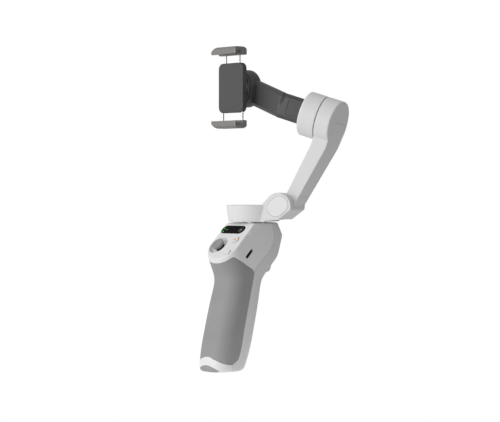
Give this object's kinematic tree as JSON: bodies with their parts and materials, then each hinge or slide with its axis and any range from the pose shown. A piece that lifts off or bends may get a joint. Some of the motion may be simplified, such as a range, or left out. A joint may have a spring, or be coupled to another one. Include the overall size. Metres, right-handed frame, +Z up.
{
  "type": "smartphone gimbal",
  "caption": "Hand-held three-axis phone stabiliser: leaning rubber grip, sloping control panel, folding arm with tilt and roll motors, and a magnetic clamp with sliding jaws.",
  "frame": {"origin": "centre of the tripod thread's mouth in the flat foot of the grip", "axes": "+Z up along the pan axis, -Y towards the user who faces the control panel, +X to the user's right"},
  "size_m": [0.1323, 0.1231, 0.3212],
  "materials": {
    "light_plastic": "moulded, fine matte grain",
    "spine_plastic": "moulded, fine matte grain",
    "grip_rubber": "soft-touch, finely textured",
    "dark_plastic": "moulded, satin",
    "jaw_metal": "fine blasted, warm grey",
    "steel": "turned",
    "brass": "turned",
    "display_black": "high gloss",
    "led_green": "lit",
    "board": "solder mask",
    "cell_wrap": "shrink film"
  },
  "bodies": {
    "handle": {"front_shell": "light_plastic", "back_shell": "spine_plastic", "grip_sleeve": "grip_rubber", "bottom_cap": "light_plastic", "foot_pad": "grip_rubber", "tripod_insert": "brass", "front_panel": "light_plastic", "display_window": "display_black", "status_leds": "led_green", "usb_port": "steel", "battery": "cell_wrap", "main_board": "board", "key_switches": "steel", "joystick_socket": "dark_plastic", "handle_screws": "steel", "trigger_pin": "steel", "pan_stator": "steel", "pan_bearing": "steel"},
    "joystick_cross": {"joystick_yoke": "steel"},
    "joystick": {"joystick_stem": "steel", "joystick_cap": "dark_plastic"},
    "mode_key": {"mode_button": "dark_plastic"},
    "record_key": {"record_button": "light_plastic"},
    "switch_key": {"switch_button": "light_plastic"},
    "power_key": {"power_button": "light_plastic"},
    "trigger_key": {"trigger": "spine_plastic"},
    "pan_stage": {"pan_arm": "light_plastic", "pan_rotor": "steel", "pan_shaft": "steel", "hinge_pin": "steel", "hinge_cap": "light_plastic"},
    "arm_stage": {"upper_arm": "light_plastic", "arm_cover": "spine_plastic", "tilt_stator": "steel", "tilt_bearing": "steel"},
    "tilt_stage": {"tilt_housing": "light_plastic", "tilt_rotor": "steel", "tilt_shaft": "steel", "roll_arm": "dark_plastic", "roll_arm_cover": "dark_plastic", "roll_stator": "dark_plastic", "roll_bearing": "steel"},
    "roll_stage": {"roll_rotor": "dark_plastic", "roll_shaft": "steel", "magnet_plate": "steel"},
    "clamp": {"clamp_base": "dark_plastic", "clamp_magnets": "steel"},
    "upper_clamp_jaw": {"upper_jaw": "jaw_metal", "upper_pad": "grip_rubber", "upper_rods": "steel"},
    "lower_clamp_jaw": {"lower_jaw": "jaw_metal", "lower_pad": "grip_rubber", "lower_rods": "steel"}
  },
  "joints": [
    {"name": "pan_turn", "type": "hinge", "parent": "handle", "child": "pan_stage", "pos_m": [0, 0.044, 0.1459], "axis": [0, 0, 1], "range_deg": [-161, 173]},
    {"name": "arm_fold", "type": "hinge", "parent": "pan_stage", "child": "arm_stage", "pos_m": [0.02808, 0.0585, 0.1613], "axis": [-0.4586, 0.8886, 0], "range_deg": [0, 125]},
    {"name": "tilt_turn", "type": "hinge", "parent": "arm_stage", "child": "tilt_stage", "pos_m": [0.06237, 0.0762, 0.24808], "axis": [0.8456, 0.4364, -0.3074], "range_deg": [-101, 78]},
    {"name": "roll_turn", "type": "hinge", "parent": "tilt_stage", "child": "roll_stage", "pos_m": [-0.02599, 0.03059, 0.2802], "axis": [0, 1, 0], "range_deg": [-120, 212]},
    {"name": "clamp_release", "type": "slide", "parent": "roll_stage", "child": "clamp", "axis": [0, -1, 0], "range_m": [0, 0.012]},
    {"name": "upper_jaw_slide", "type": "slide", "parent": "clamp", "child": "upper_clamp_jaw", "axis": [0, 0, 1], "range_m": [-0.0023, 0.0062]},
    {"name": "lower_jaw_slide", "type": "slide", "parent": "clamp", "child": "lower_clamp_jaw", "axis": [0, 0, -1], "range_m": [-0.0023, 0.0062]},
    {"name": "joystick_sideways", "type": "hinge", "parent": "joystick_cross", "child": "joystick", "pos_m": [-0.00898, 0.00871, 0.11736], "axis": [0, 0.7071, 0.7071], "range_deg": [-14, 14], "stiffness_Nm_per_rad": 0.02},
    {"name": "joystick_updown", "type": "hinge", "parent": "handle", "child": "joystick_cross", "pos_m": [-0.00898, 0.00871, 0.11736], "axis": [1, 0, 0], "range_deg": [-14, 14], "stiffness_Nm_per_rad": 0.02},
    {"name": "mode_press", "type": "slide", "parent": "handle", "child": "mode_key", "axis": [0, 0.7071, -0.7071], "range_m": [0, 0.0006], "stiffness_N_per_m": 250, "springref_m": -0.0006},
    {"name": "record_press", "type": "slide", "parent": "handle", "child": "record_key", "axis": [0, 0.7071, -0.7071], "range_m": [0, 0.0006], "stiffness_N_per_m": 250, "springref_m": -0.0006},
    {"name": "switch_press", "type": "slide", "parent": "handle", "child": "switch_key", "axis": [0, 0.7071, -0.7071], "range_m": [0, 0.0006], "stiffness_N_per_m": 250, "springref_m": -0.0006},
    {"name": "power_press", "type": "slide", "parent": "handle", "child": "power_key", "axis": [-1, 0, 0], "range_m": [0, 0.0006], "stiffness_N_per_m": 250, "springref_m": -0.0006},
    {"name": "trigger_pull", "type": "hinge", "parent": "handle", "child": "trigger_key", "pos_m": [0, 0.05031, 0.10696], "axis": [-1, 0, 0], "range_deg": [0, 8], "stiffness_Nm_per_rad": 0.06, "springref_deg": -8.59}
  ],
  "couplings": [
    {"joint": "lower_jaw_slide", "follows": "upper_jaw_slide", "ratio": 1}
  ]
}
